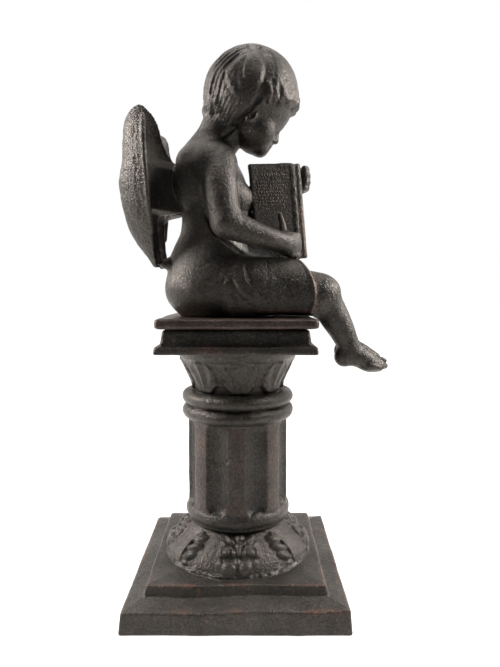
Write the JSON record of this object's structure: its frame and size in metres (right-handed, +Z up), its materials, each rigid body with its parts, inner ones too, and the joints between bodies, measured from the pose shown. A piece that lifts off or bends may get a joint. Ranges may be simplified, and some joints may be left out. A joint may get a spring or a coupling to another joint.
{
  "type": "angel statue",
  "caption": "Cast-iron statue of a seated winged cherub reading an open book, on a short fluted column with a leaf capital and a stepped square base; stands by its own weight on a shelf.",
  "frame": {"origin": "centre of the base's underside, on the column's axis", "axes": "+Z up the column, +X the way the angel faces, +Y to the angel's left; the picture looks along +Y"},
  "size_m": [0.1472, 0.114, 0.298],
  "materials": {
    "base_iron": "dark brown patina, satin, fine cast grain, rubbed reddish at the edges",
    "column_iron": "dark brown patina, satin, duller and greyer in the flutes",
    "slab_iron": "dark brown patina, satin, reddish at the edges",
    "angel_iron": "dark brown patina, satin, rubbed reddish on hems and toes"
  },
  "bodies": {
    "root": {"base": "base_iron", "column": "column_iron", "seat_slab": "slab_iron", "angel": "angel_iron"}
  },
  "joints": []
}
